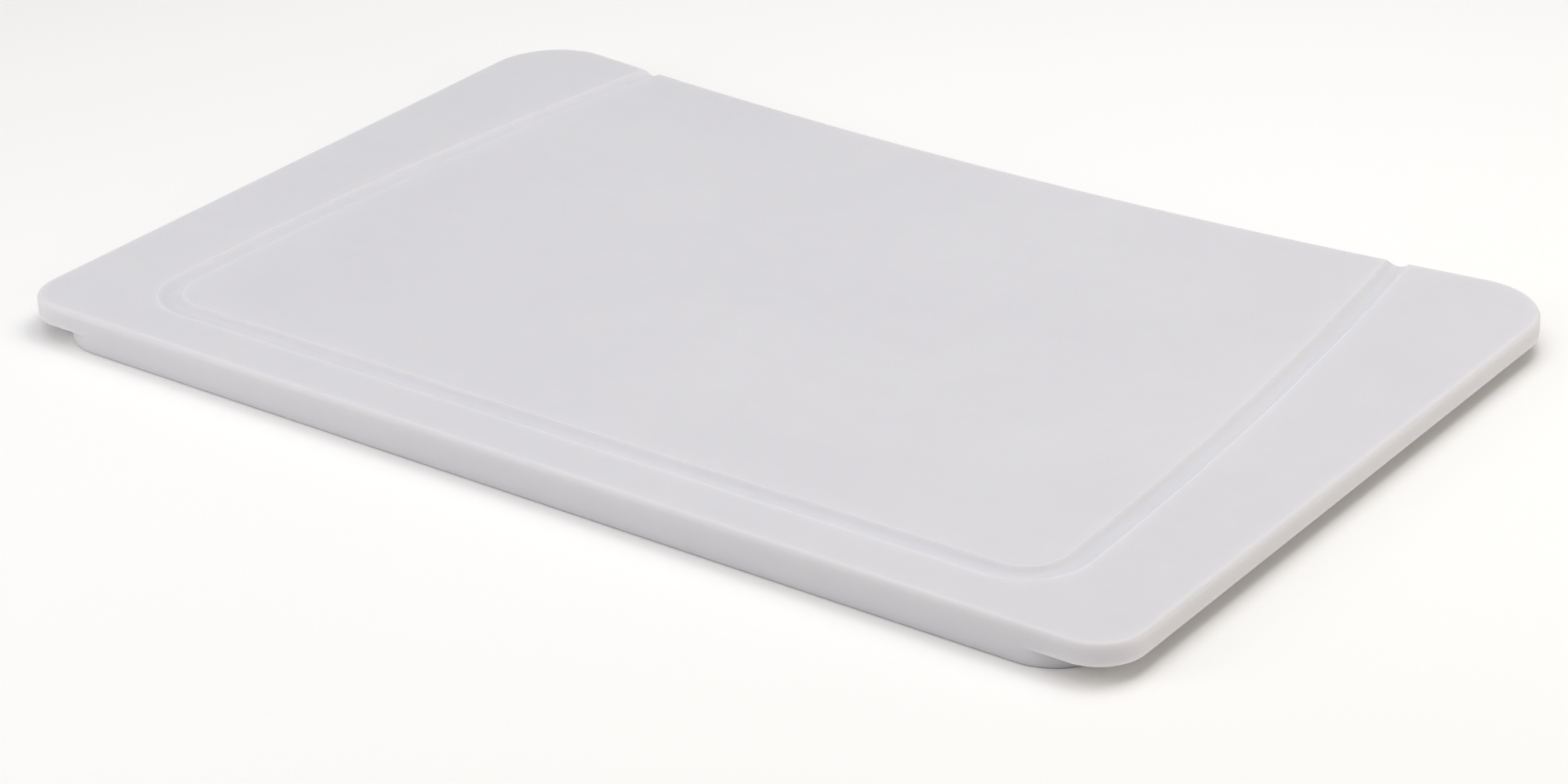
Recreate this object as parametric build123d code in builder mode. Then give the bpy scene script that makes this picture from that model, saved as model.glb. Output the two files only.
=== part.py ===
"""One-piece butcher's cutting board routed from a slab of white polyethylene.

Millimetres. The origin is under the middle of the board, on the surface it
rests on: X runs along the length, Y from the straight front edge to the
hollow back edge, and Z up through the thickness.
"""
from math import asin, atan2, cos, degrees, radians, sin, sqrt
import os

from build123d import *

# Overall size: 25 x 16 in of 3/4 in sheet
board_length = 635.0
board_depth = 406.0
board_thickness = 19.0

# Plan shape of the slab
front_corner_radius = 23.5
back_corner_radius = 39.0
waist_depth = 16.0  # how far the hollow back edge runs in, at its middle
top_edge_radius = 2.5
foot_edge_radius = 1.0

# Rebates under the two short ends, which leave a lip to lift the board by
rebate_width = 19.0
rebate_height = 8.0
rebate_corner_radius = 30.0

# Juice groove: a round-nosed cutter's track along the front and both ends
groove_cutter_radius = 7.2
groove_depth = 3.0
groove_front_inset = 34.0  # front edge to the groove's centreline
groove_end_inset = 56.5  # short end to the centreline, beside the front corner
groove_corner_radius = 26.0

# The groove's legs lean in towards the back along an arc; each starts at its own lean
left_leg_radius = 2170.0
left_leg_lean = 0.0
right_leg_radius = 2590.0
right_leg_lean = 1.65
cutter_overrun = 12.0  # how far the cutter runs out past the board

front_y = -board_depth / 2
back_y = board_depth / 2
half_length = board_length / 2

# The hollow back edge is one arc, tangent to both back corners
ear_x = half_length - back_corner_radius
waist_radius = (ear_x**2 - waist_depth**2) / (2 * waist_depth) + waist_depth - back_corner_radius
waist_centre_y = back_y - waist_depth + waist_radius


def plan_outline(half_width, front_radius, back_radius):
    """Right half of a closed plan, mirrored, with straight ends at half_width."""
    back_centre_x = half_width - back_radius
    rise = sqrt((waist_radius + back_radius) ** 2 - back_centre_x**2)
    back_centre_y = waist_centre_y - rise
    waist_half_angle = degrees(atan2(back_centre_x, rise))
    front_centre = (half_width - front_radius, front_y + front_radius)
    Line((0, front_y), (half_width - front_radius, front_y))
    CenterArc(front_centre, front_radius, 270, 90)
    Line((half_width, front_y + front_radius), (half_width, back_centre_y))
    CenterArc((back_centre_x, back_centre_y), back_radius, 0, 90 + waist_half_angle)
    CenterArc((0, waist_centre_y), waist_radius, 270 + waist_half_angle, -waist_half_angle)
    mirror(about=Plane.YZ)


# The cutter's centre runs above the top face, so its nose cuts a groove narrower than itself
track_z = board_thickness - groove_depth + groove_cutter_radius
groove_y = front_y + groove_front_inset
corner_centre = (half_length - groove_end_inset - groove_corner_radius, groove_y + groove_corner_radius)


def groove_leg(leg_radius, leg_lean, side):
    """A front corner of the groove's centreline and its leg, which runs out past the back edge."""
    lean = radians(leg_lean)
    leg_centre_x = corner_centre[0] - (leg_radius - groove_corner_radius) * cos(lean)
    leg_centre_y = corner_centre[1] - (leg_radius - groove_corner_radius) * sin(lean)
    leg_end = degrees(asin((back_y + cutter_overrun - leg_centre_y) / leg_radius))
    if side > 0:
        CenterArc(corner_centre, groove_corner_radius, 270, 90 + leg_lean)
        CenterArc((leg_centre_x, leg_centre_y), leg_radius, leg_lean, leg_end - leg_lean)
    else:
        CenterArc((-corner_centre[0], corner_centre[1]), groove_corner_radius, 180 - leg_lean, 90 + leg_lean)
        CenterArc((-leg_centre_x, leg_centre_y), leg_radius, 180 - leg_end, leg_end - leg_lean)


with BuildLine(Plane.XY.offset(track_z)) as cutter_track:
    groove_leg(left_leg_radius, left_leg_lean, -1)
    Line((-corner_centre[0], groove_y), (corner_centre[0], groove_y))
    groove_leg(right_leg_radius, right_leg_lean, 1)

with BuildPart() as groove_cutter:
    track = cutter_track.wire()
    with BuildSketch(Plane(track @ 0, z_dir=track % 0)):
        Circle(groove_cutter_radius)
    sweep(path=track)

with BuildPart() as board:
    # Foot of the board, between the rebates
    with BuildSketch() as foot_plan:
        with BuildLine():
            plan_outline(half_length - rebate_width, rebate_corner_radius, rebate_corner_radius)
        make_face()
    extrude(amount=rebate_height)
    fillet(board.faces().sort_by(Axis.Z)[0].edges(), radius=foot_edge_radius)
    # Full-size slab above the rebates
    with BuildSketch(Plane.XY.offset(rebate_height)) as slab_plan:
        with BuildLine():
            plan_outline(half_length, front_corner_radius, back_corner_radius)
        make_face()
    extrude(amount=board_thickness - rebate_height)
    fillet(board.faces().sort_by(Axis.Z)[-1].edges(), radius=top_edge_radius)
    add(groove_cutter.part, mode=Mode.SUBTRACT)

os.makedirs("parts", exist_ok=True)
board.part.label = "board"
export_step(board.part, "parts/board.step")

bounds = board.part.bounding_box()
print("size", bounds.size.X, bounds.size.Y, bounds.size.Z)
print("volume cm3", board.part.volume / 1000, "valid", board.part.is_valid)
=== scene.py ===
"""Looks of a one-piece butcher's cutting board of white polyethylene.

Metres, in the board's own frame: X along the length, Y from the straight front
edge to the hollow back edge, Z up from the face that the board rests on.
"""

from math import acos, atan2, cos, degrees, radians, sin, sqrt

import bpy
import numpy as np
from mathutils import Matrix, Vector


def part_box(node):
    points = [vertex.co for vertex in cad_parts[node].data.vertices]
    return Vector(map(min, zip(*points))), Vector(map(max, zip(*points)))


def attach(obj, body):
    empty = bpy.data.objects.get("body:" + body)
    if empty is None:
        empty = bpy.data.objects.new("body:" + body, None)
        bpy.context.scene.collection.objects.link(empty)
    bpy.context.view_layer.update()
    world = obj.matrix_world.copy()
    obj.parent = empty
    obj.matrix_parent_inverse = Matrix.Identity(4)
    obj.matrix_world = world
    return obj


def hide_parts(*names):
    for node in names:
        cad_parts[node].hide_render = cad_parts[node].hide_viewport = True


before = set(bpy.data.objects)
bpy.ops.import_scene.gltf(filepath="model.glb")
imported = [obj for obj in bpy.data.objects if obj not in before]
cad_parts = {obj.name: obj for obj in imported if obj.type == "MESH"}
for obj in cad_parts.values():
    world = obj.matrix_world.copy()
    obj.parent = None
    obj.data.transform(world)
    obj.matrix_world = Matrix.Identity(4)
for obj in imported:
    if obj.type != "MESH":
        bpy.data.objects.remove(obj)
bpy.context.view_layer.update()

MM = 0.001

# The board's box, and the sizes cut into it
LOW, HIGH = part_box("board")
HALF_LENGTH = HIGH.x
FRONT_Y = LOW.y
BACK_Y = HIGH.y
TOP_Z = HIGH.z

FRONT_CORNER = 23.5 * MM
BACK_CORNER = 39.0 * MM
WAIST_DEPTH = 16.0 * MM
EDGE_ROUND = 2.5 * MM
FOOT_ROUND = 1.0 * MM

REBATE_WIDTH = 19.0 * MM
REBATE_HEIGHT = 8.0 * MM
REBATE_CORNER = 30.0 * MM
LIP_ROUND = 1.2 * MM
REBATE_FILLET = 1.5 * MM

NOSE_RADIUS = 7.2 * MM  # of the cutter that the groove is routed with
GROOVE_DEPTH = 3.0 * MM
GROOVE_EDGE = 0.3 * MM  # rounding that the groove's edges have from use
GROOVE_FRONT_INSET = 34.0 * MM
GROOVE_END_INSET = 56.5 * MM
GROOVE_CORNER = 26.0 * MM

# The groove's legs: side of the board, radius of the arc, and lean where it leaves the corner
LEGS = ((1, 2590.0 * MM, radians(1.65)), (-1, 2170.0 * MM, 0.0))

# Sizes that follow from those
FOOT_HALF = HALF_LENGTH - REBATE_WIDTH
EAR_X = HALF_LENGTH - BACK_CORNER
WAIST_RADIUS = (EAR_X**2 - WAIST_DEPTH**2) / (2 * WAIST_DEPTH) + WAIST_DEPTH - BACK_CORNER
WAIST_Y = BACK_Y - WAIST_DEPTH + WAIST_RADIUS  # centre of the hollow back edge's arc
RIM_TURN = acos((NOSE_RADIUS - GROOVE_DEPTH + GROOVE_EDGE) / (NOSE_RADIUS + GROOVE_EDGE))
RIM_HALF = (NOSE_RADIUS + GROOVE_EDGE) * sin(RIM_TURN)
JOIN_HALF = NOSE_RADIUS * sin(RIM_TURN)
GROOVE_Y = FRONT_Y + GROOVE_FRONT_INSET
CORNER_X = HALF_LENGTH - GROOVE_END_INSET - GROOVE_CORNER
CORNER_CENTRE = np.array([CORNER_X, GROOVE_Y + GROOVE_CORNER])

# Mesh: narrow bands that keep the flat faces shading flat beside a rounding
HOLD = 0.4 * MM
RIM_HOLD = 0.15 * MM  # beside the groove
TOP_INSET = EDGE_ROUND + HOLD
BASE_INSET = FOOT_ROUND + HOLD

# Mesh: how many steps each stretch of the half outline takes
FRONT_STEPS = 24
TAPER_STEPS = 8
CORNER_STEPS = 18
END_STEPS = 36
EAR_STEPS = 26
EAR_TAIL_STEPS = 4

# Mesh: rows across the faces, the groove and the rim
RIM_ROWS = 6
ISLAND_ROWS = 6
GROOVE_EDGE_ROWS = 5
GROOVE_FLOOR_ROWS = 17
ROUND_ROWS = 11
LEDGE_TURNS = 6
FOOT_ROWS = 7

WALL_SHARES = (0.06, 0.35, 0.65, 0.94)  # down the wall above the ledge
FOOT_WALL_SHARES = (0.06, 0.5, 0.92)  # down the foot's wall

# Mesh: the plain block in the middle of a face, by its front right corner
BLOCK_X = 130.0 * MM
BLOCK_Y = -50.0 * MM
BLOCK_FRONT_SHARE = 0.88  # share of its front that faces the groove's straight front
BLOCK_CORNER_SHARE = 0.05  # share of its side that faces the groove's corner

FLUSH_WIDTH = 2.5 * MM  # a rebate narrower than this is on its way to running out
FLUSH_SPREAD = 1.5 * MM  # how far its rows then spread up and down the wall
NO_WIDTH = 1e-6 * MM  # keeps a rebate of no width from a division by nothing
WELD = 0.001 * MM  # points closer than this become one

# Finish of the sheet
SHEET_LOW = (0.66, 0.655, 0.69)
SHEET_HIGH = (0.69, 0.685, 0.715)
PAINTED_LIGHT_SHARE = 0.04  # share of painted light that lifts the groove out of its shade, and of painted shade that dims the edges' highlight
LIGHT_REACH = 8.0 * MM  # how far light spreads inside the sheet
LIGHT_REACH_RGB = (1.0, 0.92, 0.84)
BUMP_HEIGHT = 0.06 * MM
COMB_LINES = 1500.0  # of the cutter, a metre
COMB_CHANGES = 12.0  # a metre along the cut

# Studio
FLOOR_SIZE = 40.0
FLOOR_GAP = 0.2 * MM  # keeps the floor's face and the board's base apart
FLOOR_LOW = (0.93, 0.925, 0.92)
FLOOR_HIGH = (0.95, 0.945, 0.94)
SKY_COLOUR = (1.0, 0.97, 0.93)
SKY_STRENGTH = 0.32

# Soft boxes: azimuth, elevation, distance, size, power and colour. Like the sky, they are set
# so that the board has the photograph's grey levels.
SOFT_BOXES = {
    "over_box": (0, 89.9, 2.0, 1.5, 9.8, (0.94, 0.96, 1.0)),
    "over_back_box": (135, 68, 1.4, 0.8, 4.6, (1.0, 1.0, 1.0)),
    "front_box": (0, 55, 2.0, 1.2, 4.4, (1.0, 0.97, 0.97)),
    "front_left_box": (-35, 22, 1.5, 0.8, 4.8, (1.0, 0.98, 0.95)),
    "left_box": (-95, 55, 2.0, 1.2, 2.8, (0.80, 0.88, 1.0)),
    "right_box": (95, 20, 1.5, 0.8, 3.5, (1.0, 0.90, 0.70)),
    "back_box": (175, 60, 2.0, 1.2, 5.4, (0.99, 1.0, 0.99)),
}


# ---------------------------------------------------------------- plan curves

def line_points(start, end, steps):
    """Even points from start to end."""
    share = np.linspace(0, 1, steps + 1)[:, None]
    return np.array(start) + (np.array(end) - np.array(start)) * share


def spokes(degrees_array):
    """Unit vectors (cos a, sin a)."""
    angles = np.radians(degrees_array)
    return np.stack([np.cos(angles), np.sin(angles)], axis=-1)


def waist_points(polar, offset=0.0):
    """Points on the back edge's arc moved in by offset: centre + (R + offset) (sin p, -cos p)."""
    spoke = np.stack([np.sin(polar), -np.cos(polar)], axis=-1)
    return np.array([0.0, WAIST_Y]) + (WAIST_RADIUS + offset) * spoke


def back_centre(half_width, radius):
    """Centre of a back corner's circle, which touches the end and the back edge's arc."""
    x = half_width - radius
    return np.array([x, WAIST_Y - sqrt((WAIST_RADIUS + radius) ** 2 - x**2)])


def half_outlines():
    """Right half of the slab's and the foot's outlines, from the front's middle to the back.

    Each stretch is a straight line or a circle arc. Both outlines have the same
    number of points, paired so that each pair lies across the rebate. Returns
    the points and outward normals of the slab, then of the foot.
    """
    foot_front = np.array([FOOT_HALF - REBATE_CORNER, FRONT_Y + REBATE_CORNER])
    foot_back = back_centre(FOOT_HALF, REBATE_CORNER)
    slab_front = np.array([HALF_LENGTH - FRONT_CORNER, FRONT_Y + FRONT_CORNER])
    slab_back = back_centre(HALF_LENGTH, BACK_CORNER)

    flush = line_points((0, FRONT_Y), (foot_front[0], FRONT_Y), FRONT_STEPS)
    down = np.tile([0.0, -1.0], (FRONT_STEPS, 1))

    # The foot's corner starts first, under the slab's still straight edge
    taper_end = 270 + np.degrees(np.arcsin((slab_front[0] - foot_front[0]) / REBATE_CORNER))
    foot_taper = spokes(np.linspace(270, taper_end, TAPER_STEPS + 1)[:-1])
    taper = foot_front + REBATE_CORNER * foot_taper
    slab_taper = np.stack([taper[:, 0], np.full(TAPER_STEPS, FRONT_Y)], axis=-1)

    slab_turn = spokes(np.linspace(270, 360, CORNER_STEPS + 1)[:-1])
    foot_turn = spokes(np.linspace(taper_end, 360, CORNER_STEPS + 1)[:-1])

    slab_end = line_points((HALF_LENGTH, slab_front[1]), (HALF_LENGTH, slab_back[1]), END_STEPS)
    foot_end = line_points((FOOT_HALF, foot_front[1]), (FOOT_HALF, foot_back[1]), END_STEPS)
    side = np.tile([1.0, 0.0], (END_STEPS, 1))

    slab_stop = 90 + np.degrees(atan2(slab_back[0], WAIST_Y - slab_back[1]))
    foot_stop = 90 + np.degrees(atan2(foot_back[0], WAIST_Y - foot_back[1]))
    slab_tangent = slab_back + BACK_CORNER * spokes(slab_stop)
    foot_join = np.degrees(np.arccos((slab_tangent[0] - foot_back[0]) / REBATE_CORNER))
    ear_turn = np.concatenate([np.linspace(0, 90, EAR_STEPS - 1)[:-1], [90, (90 + slab_stop) / 2]])
    slab_ear = spokes(ear_turn)
    foot_ear = spokes(ear_turn * foot_join / slab_stop)

    # Past the slab's corner both run on to where the foot's corner meets the back edge
    foot_tail = spokes(np.linspace(foot_join, foot_stop, EAR_TAIL_STEPS + 1))
    tail = foot_back + REBATE_CORNER * foot_tail
    slab_tail = waist_points(np.arcsin(tail[:, 0] / WAIST_RADIUS))
    tail_normal = (np.array([0.0, WAIST_Y]) - slab_tail) / WAIST_RADIUS

    slab = np.concatenate([
        flush[:-1], slab_taper, slab_front + FRONT_CORNER * slab_turn, slab_end[:-1],
        slab_back + BACK_CORNER * slab_ear, slab_tail,
    ])
    slab_normal = np.concatenate([
        down, np.tile([0.0, -1.0], (TAPER_STEPS, 1)), slab_turn, side, slab_ear, tail_normal,
    ])
    foot = np.concatenate([
        flush[:-1], taper, foot_front + REBATE_CORNER * foot_turn, foot_end[:-1],
        foot_back + REBATE_CORNER * foot_ear, tail,
    ])
    foot_normal = np.concatenate([down, foot_taper, foot_turn, side, foot_ear, foot_tail])
    return slab, slab_normal, foot, foot_normal


def leg_centre(radius, lean):
    """Centre of a leg's arc, which runs on from the groove's corner after a turn of 90 degrees + lean."""
    return CORNER_CENTRE - (radius - GROOVE_CORNER) * np.array([cos(lean), sin(lean)])


def leg_end(leg, across, waist_offset):
    """Angle at which the groove's leg, moved out by across, meets the moved-in back edge.

    Two circles of radii a and b, whose centres are d apart, cross at the angle
    acos((a^2 + d^2 - b^2) / (2 a d)) from the line between their centres.
    """
    radius, lean = leg
    gap = np.array([0.0, WAIST_Y]) - leg_centre(radius, lean)
    apart = np.hypot(*gap)
    turn = acos(((radius + across) ** 2 + apart**2 - (WAIST_RADIUS + waist_offset) ** 2)
                / (2 * (radius + across) * apart))
    return atan2(gap[1], gap[0]) - turn


def groove_curve(leg, across, leg_share, waist_offset):
    """Half of the groove's centreline moved out by across: a line and two tangent arcs."""
    radius, lean = leg
    front = line_points((0, GROOVE_Y - across), (CORNER_X, GROOVE_Y - across), FRONT_STEPS)
    turn = spokes(np.linspace(270, 360 + degrees(lean), TAPER_STEPS + CORNER_STEPS + 1))
    corner = CORNER_CENTRE + (GROOVE_CORNER + across) * turn
    angle = lean + (leg_end(leg, across, waist_offset) - lean) * leg_share
    arc = leg_centre(radius, lean) + (radius + across) * spokes(np.degrees(angle))
    return np.concatenate([front[:-1], corner[:-1], arc])


def groove_drop(across):
    """How far the groove lies below the face: the cutter's arc, a small edge arc each side, then nothing."""
    side = np.abs(across)
    floor = np.sqrt(np.maximum(NOSE_RADIUS**2 - side**2, 0)) - NOSE_RADIUS + GROOVE_DEPTH
    reach = np.clip(RIM_HALF - side, 0, GROOVE_EDGE)
    edge = GROOVE_EDGE - np.sqrt(GROOVE_EDGE**2 - reach**2)
    return np.where(side < JOIN_HALF, floor, np.where(side < RIM_HALF, edge, 0.0))


def across_leg(leg, points):
    """How far points lie outside the centreline of the groove's leg."""
    return np.hypot(*(points - leg_centre(*leg)).T) - leg[0]


# ---------------------------------------------------------------- surface grids

def groove_rows():
    """Distances across the groove: even turns round its edges, even steps over the floor."""
    edge = RIM_HALF - GROOVE_EDGE * np.sin(np.linspace(0, RIM_TURN, GROOVE_EDGE_ROWS))
    floor = np.linspace(JOIN_HALF, -JOIN_HALF, GROOVE_FLOOR_ROWS + 2)[1:-1]
    half = np.concatenate([[RIM_HALF + RIM_HOLD], edge])
    return np.concatenate([half, floor, -half[::-1]])


def groove_flags(columns):
    """For the columns of a band across the top face: in the groove or not, and how much light or shade is
    painted on.

    The groove's floor gets painted light that lifts it out of its shade (1),
    and its rounded edges get painted shade that dims their highlight (-1).
    """
    rows = groove_rows()
    in_groove = slice(RIM_ROWS, RIM_ROWS + len(rows))
    cut, painted_level = np.zeros(columns), np.zeros(columns)
    cut[in_groove] = 1
    # Painted light on the groove's floor, painted shade on its rounded edges
    painted_level[in_groove] = np.where(np.abs(rows) < JOIN_HALF - WELD, 1, -1)
    painted_level[[in_groove.start, in_groove.stop - 1]] = 0
    return cut, painted_level


def cap_grids(leg, outline, waist_offset):
    """Half of a flat face as two grids of plan points.

    The first runs along the outline and, row by row, inwards: from the outline
    to the groove, across it, and on to the side of a plain block in the middle.
    The second fills the block up to the back edge. Rows between two curves are
    blends of them. The last point of each row lies on the back edge's arc.
    """
    steps = np.hypot(*np.diff(outline, axis=0).T)
    first = FRONT_STEPS + TAPER_STEPS + CORNER_STEPS
    run = np.concatenate([[0.0], np.cumsum(steps[first:])])
    leg_share = run / run[-1]
    groove = np.stack([groove_curve(leg, a, leg_share, waist_offset) for a in groove_rows()], axis=1)

    # The block's front faces the groove's front and half its corner, and its side the rest
    corner = (TAPER_STEPS + CORNER_STEPS) // 2
    block_front = np.concatenate([
        np.linspace(0, BLOCK_FRONT_SHARE * BLOCK_X, FRONT_STEPS + 1)[:-1],
        np.linspace(BLOCK_FRONT_SHARE * BLOCK_X, BLOCK_X, corner + 1),
    ])
    side_end_y = WAIST_Y - sqrt((WAIST_RADIUS + waist_offset) ** 2 - BLOCK_X**2)
    rise = np.concatenate([
        np.linspace(0, BLOCK_CORNER_SHARE, corner + 1)[:-1],
        BLOCK_CORNER_SHARE + (1 - BLOCK_CORNER_SHARE) * leg_share,
    ])
    side_y = BLOCK_Y + (side_end_y - BLOCK_Y) * rise
    block = np.concatenate([
        np.stack([block_front, np.full(len(block_front), BLOCK_Y)], axis=-1),
        np.stack([np.full(len(side_y) - 1, BLOCK_X), side_y[1:]], axis=-1),
    ])

    rim_share = np.linspace(0, 1, RIM_ROWS + 1)[None, :-1, None]
    island_share = np.linspace(0, 1, ISLAND_ROWS + 1)[None, 1:, None]
    rim = outline[:, None] * (1 - rim_share) + groove[:, :1] * rim_share
    island = groove[:, -1:] * (1 - island_share) + block[:, None] * island_share
    band = np.concatenate([rim, groove, island], axis=1)

    # The block: x is even with its front, y runs from its front to the back edge
    back_y = WAIST_Y - np.sqrt((WAIST_RADIUS + waist_offset) ** 2 - block_front**2)
    fill_y = BLOCK_Y + rise[:, None] * (back_y - BLOCK_Y)[None, :]
    fill = np.stack([np.broadcast_to(block_front, fill_y.shape), fill_y], axis=-1)
    return band, fill


def waist_polar(band, fill):
    """Polar angles of the points along the back edge, from the band's start to the middle."""
    points = np.concatenate([band[-1], fill[-1, ::-1][1:]])
    return np.arctan2(points[:, 0], WAIST_Y - points[:, 1])


def ledge_steps(inset):
    """Steps across a rebate inset wide, as (inwards, up) from the lip's lower edge.

    A quarter circle rounds the lip's edge, the flat ledge follows, and another
    quarter circle fills the inner corner. Each gets smaller where the rebate does.
    """
    width = np.minimum(inset / 3, LIP_ROUND)
    fillet = np.minimum(inset / 3, REBATE_FILLET)
    hold = np.minimum(inset / 12, HOLD)
    quarter = np.radians(np.linspace(0, 90, LEDGE_TURNS))
    steps = [(width * (1 - cos(a)), width * (1 - sin(a))) for a in quarter]
    steps.append((width + hold, 0 * inset))
    steps.append((inset - fillet - hold, 0 * inset))
    steps += [(inset - fillet * (1 - sin(a)), -fillet * (1 - cos(a))) for a in quarter]
    return steps


def ledge_loops(plan, foot_plan):
    """Loops across the rebate: each point steps from the slab's outline towards the foot's.

    Where the foot is flush with the slab the ledge has no width, and its loops
    spread up and down the wall instead.
    """
    inset = np.hypot(*(plan - foot_plan).T)
    inward = (foot_plan - plan) / np.maximum(inset, NO_WIDTH)[:, None]
    flush = FLUSH_SPREAD * (1 - np.clip(inset / FLUSH_WIDTH, 0, 1))
    steps = ledge_steps(inset)
    shares = np.linspace(1, -1, len(steps))
    return [
        np.column_stack([plan + inward * along[:, None], REBATE_HEIGHT + rise + flush * share])
        for (along, rise), share in zip(steps, shares)
    ]


def skirt_grid(leg, outlines, polar):
    """The board's rim, one row of points per place along the outline, from the top face down.

    Down each row: the rounded top edge, the wall, the rebate's ledge, the foot's
    wall and its rounded lower edge. The roundings are quarter circles. Where the
    groove runs out through the back edge, the top edge is lowered to it by the
    blend (groove^4 + rounding^4)^(1/4). Also returns, for each column, the painted
    shade that dims the top edge's highlight, which dips to -1 half way round it.
    """
    slab, slab_normal, foot, foot_normal = outlines
    waist = waist_points(polar[1:])
    waist_normal = (np.array([0.0, WAIST_Y]) - waist) / WAIST_RADIUS
    plan = np.concatenate([slab, waist])
    normal = np.concatenate([slab_normal, waist_normal])
    foot_plan = np.concatenate([foot, waist])
    foot_normal = np.concatenate([foot_normal, waist_normal])
    notch = np.zeros(len(plan))
    on_waist = slice(len(slab), None)

    def edge_loop(offset, drop):
        """One loop of the top edge's rounding."""
        points = plan - offset * normal
        notch[on_waist] = groove_drop(across_leg(leg, points[on_waist]))
        fall = (notch**4 + drop**4) ** 0.25
        return np.column_stack([points, TOP_Z - fall])

    loops = [edge_loop(TOP_INSET, 0.0)]
    round_turns = np.radians(np.linspace(0, 90, ROUND_ROWS))
    loops += [edge_loop(EDGE_ROUND * (1 - sin(a)), EDGE_ROUND * (1 - cos(a))) for a in round_turns]

    ledge = ledge_loops(plan, foot_plan)
    wall_top = loops[-1]
    loops += [wall_top + (ledge[0] - wall_top) * share for share in WALL_SHARES]
    loops += ledge
    foot_low = np.column_stack([foot_plan, np.full(len(plan), FOOT_ROUND)])
    loops += [ledge[-1] + (foot_low - ledge[-1]) * share for share in FOOT_WALL_SHARES]
    for a in np.radians(np.linspace(0, 90, FOOT_ROWS)):
        height = np.full(len(plan), FOOT_ROUND * (1 - sin(a)))
        loops.append(np.column_stack([foot_plan - foot_normal * FOOT_ROUND * (1 - cos(a)), height]))
    loops.append(np.column_stack([foot_plan - foot_normal * BASE_INSET, np.zeros(len(plan))]))

    painted_level = np.zeros(len(loops))
    # Painted shade that dims the highlight along the rounded top edge
    painted_level[1:1 + ROUND_ROWS] = -np.sin(2 * round_turns)
    return np.stack(loops, axis=1), painted_level


def half_patches(leg):
    """Half of the board's skin, drawn as the right one.

    Each patch is a grid of points, whether its faces are turned, which of its
    columns the cutter made and how much painted light or shade each has, and the
    column that its map starts from.
    """
    outlines = half_outlines()
    slab, slab_normal, foot, foot_normal = outlines
    band, fill = cap_grids(leg, slab - TOP_INSET * slab_normal, TOP_INSET)
    base_band, base_fill = cap_grids(leg, foot - BASE_INSET * foot_normal, BASE_INSET)

    # Both faces end on the same spokes of the back edge's arc
    polar = waist_polar(band, fill)
    columns = band.shape[1]
    for grid_band, grid_fill, inset in ((band, fill, TOP_INSET), (base_band, base_fill, BASE_INSET)):
        grid_band[-1, 1:] = waist_points(polar[1:columns], inset)
        grid_fill[-1] = waist_points(polar[columns - 1:], inset)[::-1]
    skirt, skirt_painted_level = skirt_grid(leg, outlines, polar)

    # Heights of the faces: only the groove's columns lie below the top
    drop = np.zeros(columns)
    drop[RIM_ROWS:RIM_ROWS + len(groove_rows())] = groove_drop(groove_rows())
    top = np.dstack([band, np.broadcast_to(TOP_Z - drop, band.shape[:2])])
    top_fill = np.dstack([fill, np.full(fill.shape[:2], TOP_Z)])
    base = np.dstack([base_band, np.zeros(base_band.shape[:2])])
    base_fill = np.dstack([base_fill, np.zeros(base_fill.shape[:2])])

    # The skirt's first and last loops are the faces' own borders
    for loop, grid_band, grid_fill in ((0, top, top_fill), (-1, base, base_fill)):
        skirt[:len(slab), loop] = grid_band[:, 0]
        skirt[len(slab):, loop] = np.concatenate([grid_band[-1, 1:], grid_fill[-1, ::-1][1:]])

    cut, painted_level = groove_flags(columns)
    plain, plain_fill = np.zeros(columns), np.zeros(top_fill.shape[1])
    return [
        (top, True, cut, painted_level, RIM_ROWS),
        (top_fill, False, plain_fill, plain_fill, 0),
        (skirt, False, np.ones(len(skirt_painted_level)), skirt_painted_level, 0),
        (base, False, plain, plain, 0),
        (base_fill, True, plain_fill, plain_fill, 0),
    ]


def grid_faces(shape, start, flip):
    """Corner numbers of a grid's quads, the other way round if flip."""
    number = start + np.arange(shape[0] * shape[1]).reshape(shape)
    corners = [number[:-1, :-1], number[:-1, 1:], number[1:, 1:], number[1:, :-1]]
    if flip:
        corners.reverse()
    return np.stack(corners, axis=-1).reshape(-1, 4)


def track_map(grid, sign, start):
    """Map position of each grid point: the length walked along its row, and across from row start."""
    along = np.zeros(grid.shape[:2])
    across = np.zeros(grid.shape[:2])
    along[1:] = np.cumsum(np.linalg.norm(np.diff(grid, axis=0), axis=2), axis=0)
    across[:, 1:] = np.cumsum(np.linalg.norm(np.diff(grid, axis=1), axis=2), axis=1)
    return np.stack([sign * along, across - across[:, start:start + 1]], axis=-1)


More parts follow.
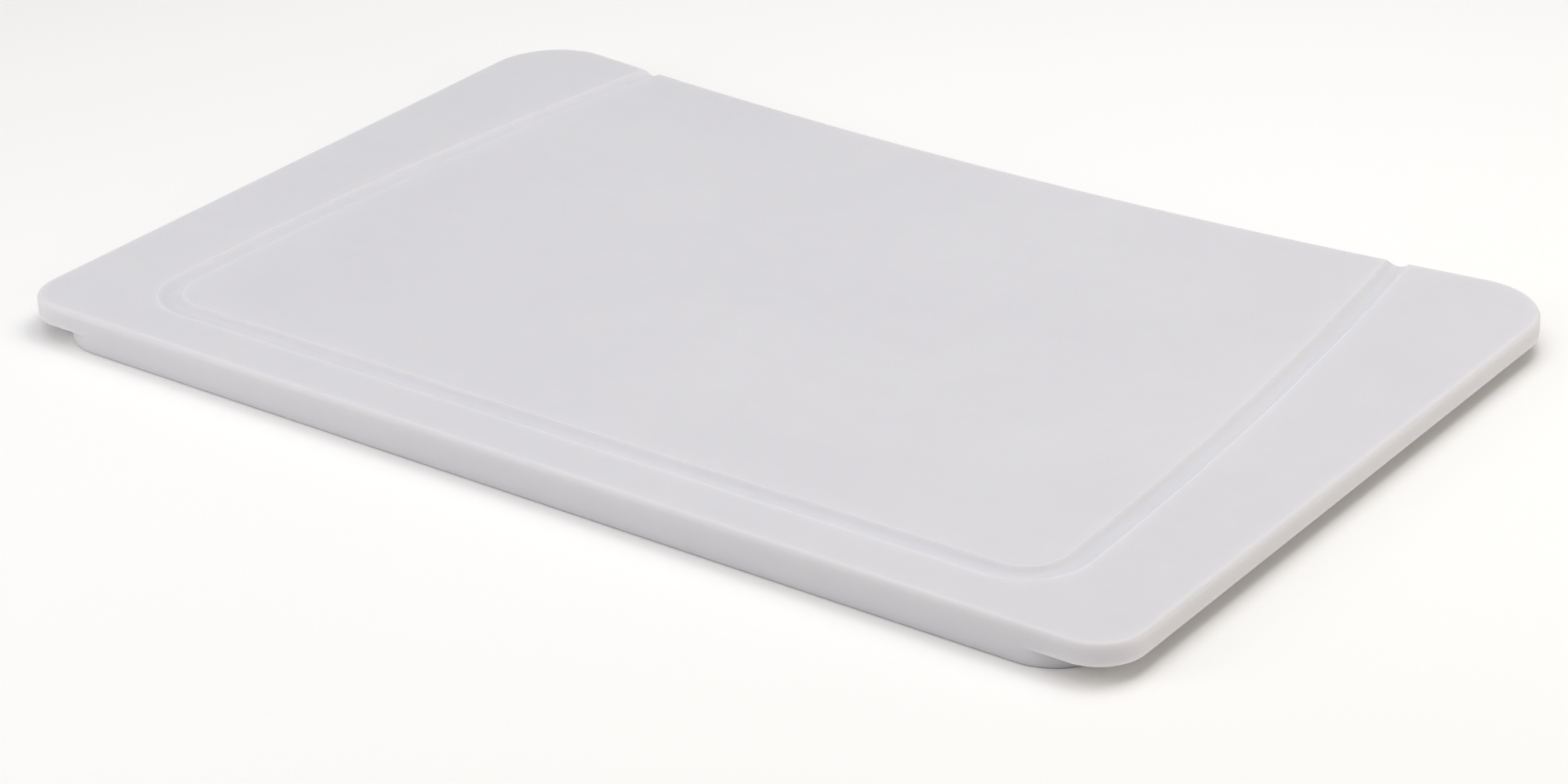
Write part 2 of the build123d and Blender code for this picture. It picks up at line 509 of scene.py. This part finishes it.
def make_board():
    """The whole skin: the right half's grids and the left's mirrored ones, welded where they meet."""
    points, faces, tracks, cuts, painted_levels = [], [], [], [], []
    total = 0
    for sign, *leg in LEGS:
        for grid, flip, cut, painted_level, start in half_patches(leg):
            points.append((grid * [sign, 1, 1]).reshape(-1, 3))
            faces.append(grid_faces(grid.shape[:2], total, flip != (sign < 0)))
            tracks.append(track_map(grid, sign, start).reshape(-1, 2))
            cuts.append(np.broadcast_to(cut, grid.shape[:2]).reshape(-1))
            painted_levels.append(np.broadcast_to(painted_level, grid.shape[:2]).reshape(-1))
            total += len(points[-1])
    points, faces = np.concatenate(points), np.concatenate(faces)
    tracks, cuts, painted_levels = np.concatenate(tracks), np.concatenate(cuts), np.concatenate(painted_levels)

    keys = np.round(points / WELD).astype(np.int64)
    _, kept, merged = np.unique(keys, axis=0, return_index=True, return_inverse=True)
    corners = merged.reshape(-1)[faces]
    mesh = bpy.data.meshes.new("white_board")
    mesh.from_pydata(points[kept].tolist(), [], corners.tolist())
    track = mesh.uv_layers.new(name="track")
    track.data.foreach_set("uv", tracks[faces.reshape(-1)].reshape(-1))
    # The second layer carries painted light for the groove and painted shade for the rounded edges
    for name, values in (("routed", cuts), ("painted_light_and_shade", painted_levels)):
        layer = mesh.attributes.new(name, "FLOAT", "CORNER")
        layer.data.foreach_set("value", values[faces.reshape(-1)])
    mesh.polygons.foreach_set("use_smooth", np.ones(len(corners), bool))
    mesh.update()
    board = bpy.data.objects.new("white_board", mesh)
    bpy.context.scene.collection.objects.link(board)
    return board


# ---------------------------------------------------------------- finishes

def add(tree, kind, inputs, **settings):
    """A node with its settings, and its inputs either set or linked."""
    made = tree.nodes.new("ShaderNode" + kind)
    for name, value in settings.items():
        setattr(made, name, value)
    for name, value in inputs.items():
        if isinstance(value, bpy.types.NodeSocket):
            tree.links.new(value, made.inputs[name])
        else:
            made.inputs[name].default_value = value
    return made


def calc(tree, operation, first, second):
    """One step of arithmetic."""
    return add(tree, "Math", {0: first, 1: second}, operation=operation).outputs[0]


def spread(tree, value, low, high, start, end):
    """Maps low..high to start..end, and holds beyond them."""
    inputs = {"Value": value, "From Min": low, "From Max": high, "To Min": start, "To Max": end}
    return add(tree, "MapRange", inputs).outputs[0]


def noise(tree, where, scale, detail=2.0, stretch=(1, 1, 1)):
    """Soft noise of scale lumps a metre, drawn out where stretch is small."""
    placed = add(tree, "Mapping", {"Vector": where, "Scale": stretch}).outputs[0]
    inputs = {"Vector": placed, "Scale": scale, "Detail": detail, "Roughness": 0.55}
    return add(tree, "TexNoise", inputs).outputs[0]


def tint(tree, factor, low, high):
    """Blend of two colours."""
    blend = add(tree, "Mix", {0: factor, 6: (*low, 1), 7: (*high, 1)}, data_type="RGBA")
    return blend.outputs[2]


def empty_material(name):
    """A material with nothing but its output."""
    material = bpy.data.materials.new(name)
    material.use_nodes = True
    material.node_tree.nodes.clear()
    return material


def white_polyethylene():
    """Milky pressed sheet, fine-grained on the faces and combed by the cutter where it is routed."""
    material = empty_material("white_polyethylene_sheet")
    tree = material.node_tree
    where = add(tree, "TexCoord", {}).outputs["Object"]
    track = add(tree, "UVMap", {}, uv_map="track").outputs[0]
    routed = add(tree, "Attribute", {}, attribute_name="routed").outputs["Fac"]
    # Painted light and painted shade, read from the mesh
    painted_light_and_shade = add(tree, "Attribute", {}, attribute_name="painted_light_and_shade").outputs["Fac"]

    # Milkiness of the sheet: broad clouds with a finer mottle
    cloud = noise(tree, where, 7.0, 3.0)
    mottle = noise(tree, where, 60.0, 4.0)
    milk = calc(tree, "ADD", calc(tree, "MULTIPLY", cloud, 0.7), calc(tree, "MULTIPLY", mottle, 0.3))
    colour = tint(tree, spread(tree, milk, 0.3, 0.7, 0, 1), SHEET_LOW, SHEET_HIGH)

    # Painted light lifts the groove out of its shade; painted shade dims the rounded edges' highlight
    painted_scale = calc(tree, "ADD", calc(tree, "MULTIPLY", painted_light_and_shade, PAINTED_LIGHT_SHARE), 1.0)
    colour = add(tree, "VectorMath", {0: colour, "Scale": painted_scale}, operation="SCALE").outputs[0]

    # Grain of the pressed face, and faint hairline rubs from wiping it down
    grain = noise(tree, where, 900.0, 3.0)
    rubs = noise(tree, where, 260.0, 2.0, (0.03, 1, 1))
    crossing = noise(tree, where, 220.0, 2.0, (1, 0.04, 1))

    # Combing by the cutter: lines that keep their distance from the outline or the groove
    parts = add(tree, "SeparateXYZ", {0: track}).outputs
    place = add(tree, "SeparateXYZ", {0: where}).outputs
    lane = add(tree, "CombineXYZ", {
        0: calc(tree, "MULTIPLY", parts[1], COMB_LINES),
        1: calc(tree, "MULTIPLY", place[0], COMB_CHANGES),
        2: calc(tree, "MULTIPLY", place[1], COMB_CHANGES),
    }).outputs[0]
    comb = noise(tree, lane, 1.0, 2.0)

    face_height = calc(tree, "ADD", grain, calc(tree, "MULTIPLY", calc(tree, "ADD", rubs, crossing), 0.4))
    height = add(tree, "Mix", {0: routed, 2: face_height, 3: comb}).outputs[0]
    bump = add(tree, "Bump", {"Strength": 0.35, "Distance": BUMP_HEIGHT, "Height": height}).outputs[0]

    face_gloss = spread(tree, calc(tree, "ADD", grain, rubs), 0.7, 1.3, 0.40, 0.52)
    cut_gloss = spread(tree, comb, 0.3, 0.7, 0.46, 0.58)
    gloss = add(tree, "Mix", {0: routed, 2: face_gloss, 3: cut_gloss}).outputs[0]

    shader = add(tree, "BsdfPrincipled", {
        "Base Color": colour, "Roughness": gloss, "Normal": bump, "IOR": 1.54,
        "Subsurface Weight": 1.0, "Subsurface Radius": LIGHT_REACH_RGB, "Subsurface Scale": LIGHT_REACH,
        "Specular IOR Level": 0.3,
    })
    tree.links.new(shader.outputs[0], add(tree, "OutputMaterial", {}).inputs[0])
    return material


def pale_floor():
    """Matte white table board, with a little unevenness."""
    material = empty_material("pale_floor")
    tree = material.node_tree
    where = add(tree, "TexCoord", {}).outputs["Object"]
    cloud = noise(tree, where, 2.0, 2.0)
    colour = tint(tree, cloud, FLOOR_LOW, FLOOR_HIGH)
    shader = add(tree, "BsdfPrincipled", {
        "Base Color": colour, "Roughness": 0.9, "Specular IOR Level": 0.0,
    })
    tree.links.new(shader.outputs[0], add(tree, "OutputMaterial", {}).inputs[0])
    return material


# ---------------------------------------------------------------- studio

def make_floor(size, height):
    """A square of floor that fills the view."""
    half = size / 2
    corners = [(-half, -half, height), (half, -half, height), (half, half, height), (-half, half, height)]
    mesh = bpy.data.meshes.new("floor")
    mesh.from_pydata(corners, [], [(0, 1, 2, 3)])
    floor = bpy.data.objects.new("floor", mesh)
    bpy.context.scene.collection.objects.link(floor)
    floor.data.materials.append(pale_floor())
    return floor


def direction(azimuth, elevation):
    """Unit vector towards a place seen at azimuth, from the front towards the right, and elevation."""
    a, e = radians(azimuth), radians(elevation)
    return Vector((sin(a) * cos(e), -cos(a) * cos(e), sin(e)))


def soft_light(name, azimuth, elevation, distance, size, power, colour):
    """A square soft box that looks at the board, out of the camera's sight."""
    lamp = bpy.data.lights.new(name, "AREA")
    lamp.shape = "SQUARE"
    lamp.size = size
    lamp.energy = power
    lamp.color = colour
    holder = bpy.data.objects.new(name, lamp)
    bpy.context.scene.collection.objects.link(holder)
    aim = direction(azimuth, elevation)
    turn = aim.to_track_quat("Z", "Y").to_matrix().to_4x4()
    holder.matrix_world = Matrix.Translation(aim * distance) @ turn
    holder.visible_camera = False


def sky(colour, strength):
    """Even light from all round."""
    world = bpy.data.worlds.new("studio")
    bpy.context.scene.world = world
    world.use_nodes = True
    tree = world.node_tree
    tree.nodes.clear()
    glow = add(tree, "Background", {"Color": (*colour, 1), "Strength": strength})
    tree.links.new(glow.outputs[0], add(tree, "OutputWorld", {}).inputs[0])


def make_camera(target, azimuth, elevation, roll, distance, lens):
    """Camera that looks at target from the front right, a little rolled."""
    data = bpy.data.cameras.new("camera")
    data.lens = lens
    data.sensor_width = 36.0
    data.sensor_fit = "HORIZONTAL"
    data.clip_end = 50.0
    camera = bpy.data.objects.new("camera", data)
    bpy.context.scene.collection.objects.link(camera)
    back = direction(azimuth, elevation)
    right = Vector((cos(radians(azimuth)), sin(radians(azimuth)), 0))
    up = back.cross(right)
    r = radians(roll)
    level = Matrix((right * cos(r) + up * sin(r), up * cos(r) - right * sin(r), back)).transposed()
    camera.matrix_world = Matrix.Translation(Vector(target) + back * distance) @ level.to_4x4()
    bpy.context.scene.camera = camera


board = make_board()
board.data.materials.append(white_polyethylene())
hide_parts("board")
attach(board, "root")

make_floor(FLOOR_SIZE, -FLOOR_GAP)

# The view that shows the board's edges where the photograph has them
make_camera(
    target=(0.03895, -0.05238, 0), azimuth=37.129, elevation=26.408, roll=-1.789,
    distance=1.88576, lens=91.78,
)
sky(SKY_COLOUR, SKY_STRENGTH)
for name, settings in SOFT_BOXES.items():
    soft_light(name, *settings)
bpy.context.scene.view_settings.view_transform = "Standard"
